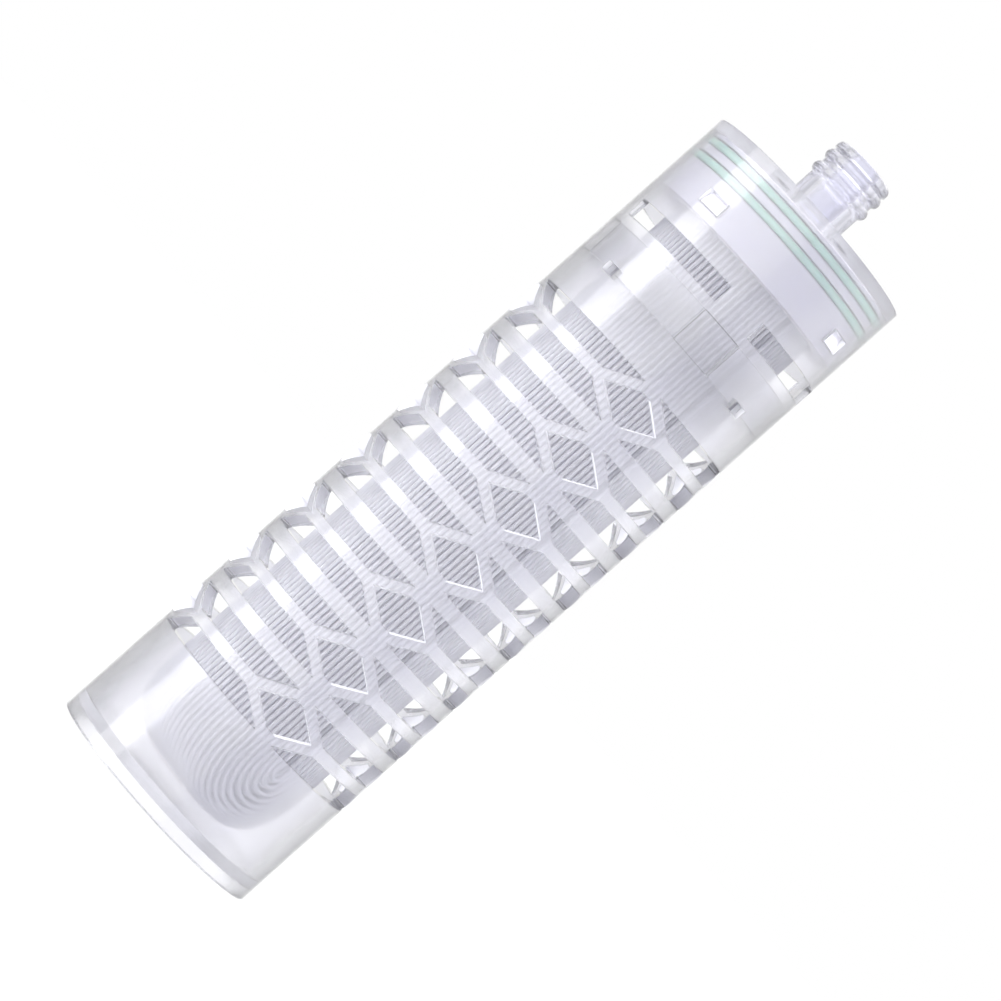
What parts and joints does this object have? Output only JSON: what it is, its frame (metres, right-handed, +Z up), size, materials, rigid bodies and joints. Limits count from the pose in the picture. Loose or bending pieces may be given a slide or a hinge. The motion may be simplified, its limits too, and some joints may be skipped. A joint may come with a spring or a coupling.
{
  "type": "ultrafiltration filter cartridge",
  "caption": "Clear cylindrical ultrafiltration cartridge: a windowed cage and a sealed cap hold a bundle of U-bent hollow fibres, with an outlet nozzle on top.",
  "frame": {"origin": "centre of the foot's lower face, on the cartridge's axis", "axes": "+Z up the cartridge's axis, from the closed foot to the outlet nozzle; -Y and the other quarter directions run through the middles of the diamond openings"},
  "size_m": [0.05, 0.05, 0.181],
  "materials": {
    "cage_plastic": "clear injection moulding, polished mould faces",
    "cap_plastic": "clear injection moulding, polished mould faces",
    "cup_plastic": "translucent injection moulding",
    "resin": "cast resin, cloudy",
    "seal_rubber": "moulded rubber",
    "fibre": "spun porous membrane, matt"
  },
  "bodies": {
    "root": {"cage": "cage_plastic", "cap": "cap_plastic", "potting_cup": "cup_plastic", "potting_resin": "resin", "upper_seal_ring": "seal_rubber", "lower_seal_ring": "seal_rubber", "fibre_01": "fibre", "fibre_02": "fibre", "fibre_03": "fibre", "fibre_04": "fibre", "fibre_05": "fibre", "fibre_06": "fibre", "fibre_07": "fibre", "fibre_08": "fibre", "fibre_09": "fibre", "fibre_10": "fibre", "fibre_11": "fibre", "fibre_12": "fibre", "fibre_13": "fibre", "fibre_14": "fibre", "fibre_15": "fibre", "fibre_16": "fibre", "fibre_17": "fibre", "fibre_18": "fibre", "fibre_19": "fibre", "fibre_20": "fibre", "fibre_21": "fibre", "fibre_22": "fibre", "fibre_23": "fibre", "fibre_24": "fibre", "fibre_25": "fibre", "fibre_26": "fibre", "fibre_27": "fibre", "fibre_28": "fibre", "fibre_29": "fibre", "fibre_30": "fibre", "fibre_31": "fibre", "fibre_32": "fibre", "fibre_33": "fibre", "fibre_34": "fibre", "fibre_35": "fibre", "fibre_36": "fibre", "fibre_37": "fibre", "fibre_38": "fibre", "fibre_39": "fibre", "fibre_40": "fibre", "fibre_41": "fibre", "fibre_42": "fibre", "fibre_43": "fibre", "fibre_44": "fibre", "fibre_45": "fibre", "fibre_46": "fibre"}
  },
  "joints": []
}
